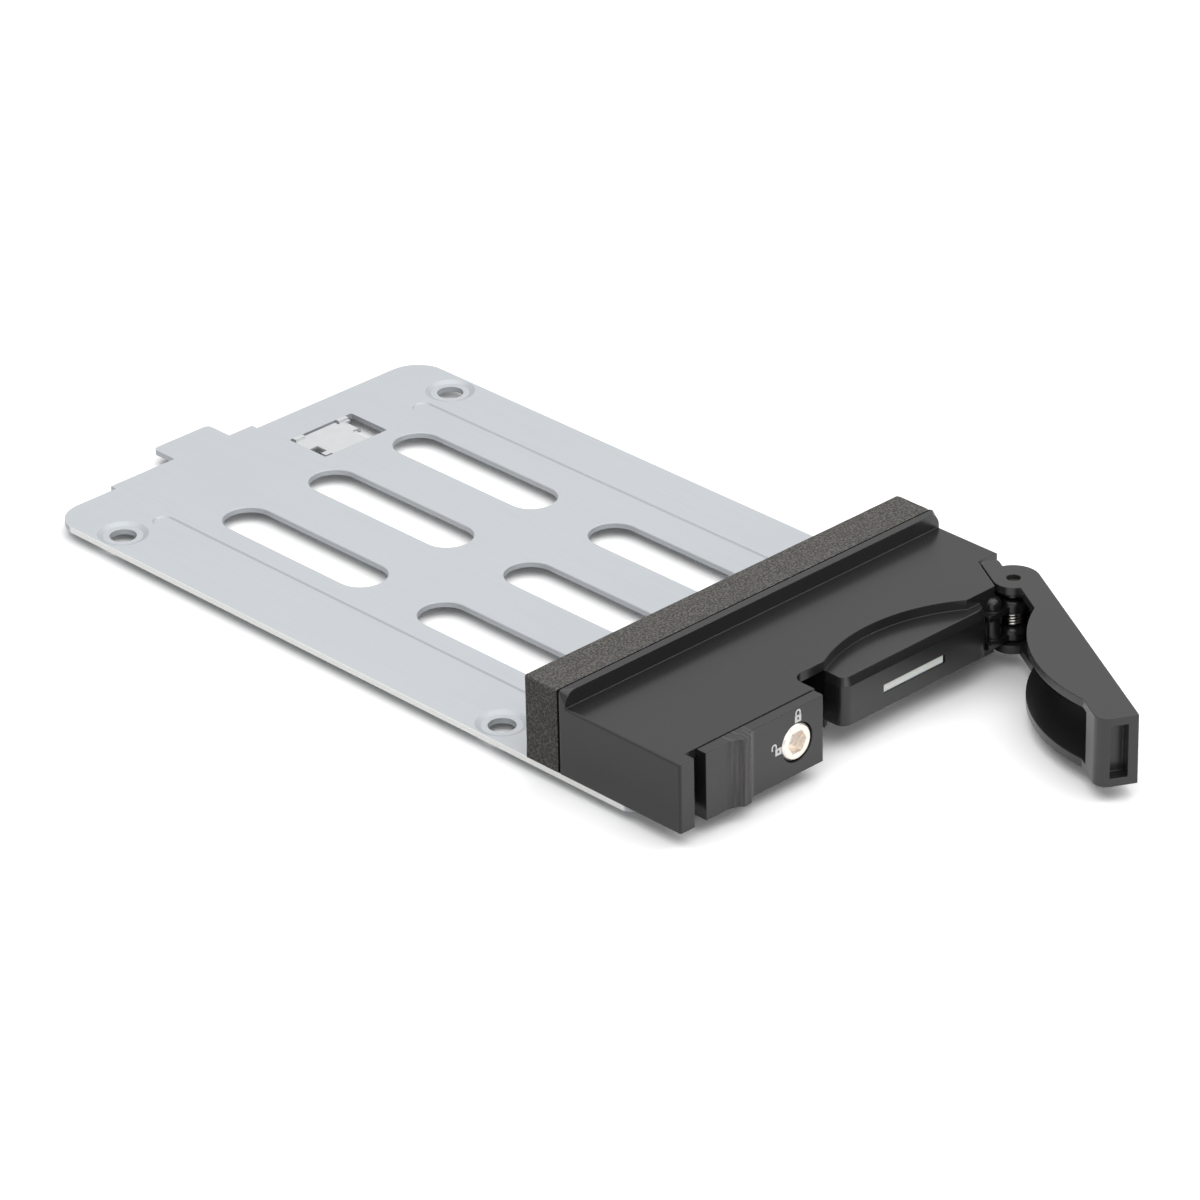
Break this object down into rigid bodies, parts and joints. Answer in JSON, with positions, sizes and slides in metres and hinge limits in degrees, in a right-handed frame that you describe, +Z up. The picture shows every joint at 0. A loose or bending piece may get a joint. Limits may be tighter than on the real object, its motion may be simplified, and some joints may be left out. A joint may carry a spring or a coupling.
{
  "type": "hot swap drive caddy",
  "caption": "Slim hot swap tray for a small drive: slotted metal plate, foam gasket, front housing with a spring-open ejector handle and a locking release slider.",
  "frame": {"origin": "centre of the four drive holes, on the underside of their dimples, which is the plane that the caddy rests on", "axes": "+X to the right seen from the front, +Y to the rear of the tray, +Z up"},
  "size_m": [0.0696, 0.1631, 0.0135],
  "materials": {
    "tray_steel": "satin",
    "clip_steel": "bright",
    "screw_steel": "plain",
    "black_plastic": "fine texture",
    "foam": "open cell foam",
    "tape": "matt",
    "light_plastic": "milky",
    "pin_steel": "plain",
    "spring_steel": "bright drawn",
    "lock_steel": "satin"
  },
  "bodies": {
    "frame": {"tray_plate": "tray_steel", "ground_clip": "clip_steel", "housing_screws": "screw_steel", "front_housing": "black_plastic", "gasket_tape": "tape", "foam_gasket": "foam", "light_pipe": "light_plastic", "hinge_pin": "pin_steel", "handle_spring": "spring_steel", "slider_spring": "spring_steel"},
    "handle": {"ejector_handle": "black_plastic"},
    "slider": {"release_slider": "black_plastic"},
    "lock": {"lock_screw": "lock_steel", "lock_washer": "lock_steel", "lock_cam": "lock_steel", "lock_clip": "spring_steel"}
  },
  "joints": [
    {"name": "handle_hinge", "type": "hinge", "parent": "frame", "child": "handle", "pos_m": [0.031, -0.07165, 0.00615], "axis": [0, 0, 1], "range_deg": [-60.9, 0], "stiffness_Nm_per_rad": 0.004, "springref_deg": 28.65, "deforming": ["handle_spring"]},
    {"name": "release_slide", "type": "slide", "parent": "frame", "child": "slider", "axis": [-1, 0, 0], "range_m": [0, 0.002], "stiffness_N_per_m": 300, "springref_m": -0.004, "deforming": ["slider_spring"]},
    {"name": "lock_turn", "type": "hinge", "parent": "slider", "child": "lock", "pos_m": [-0.0138, -0.0754, 0.00595], "axis": [0, 1, 0], "range_deg": [-90, 0]}
  ]
}
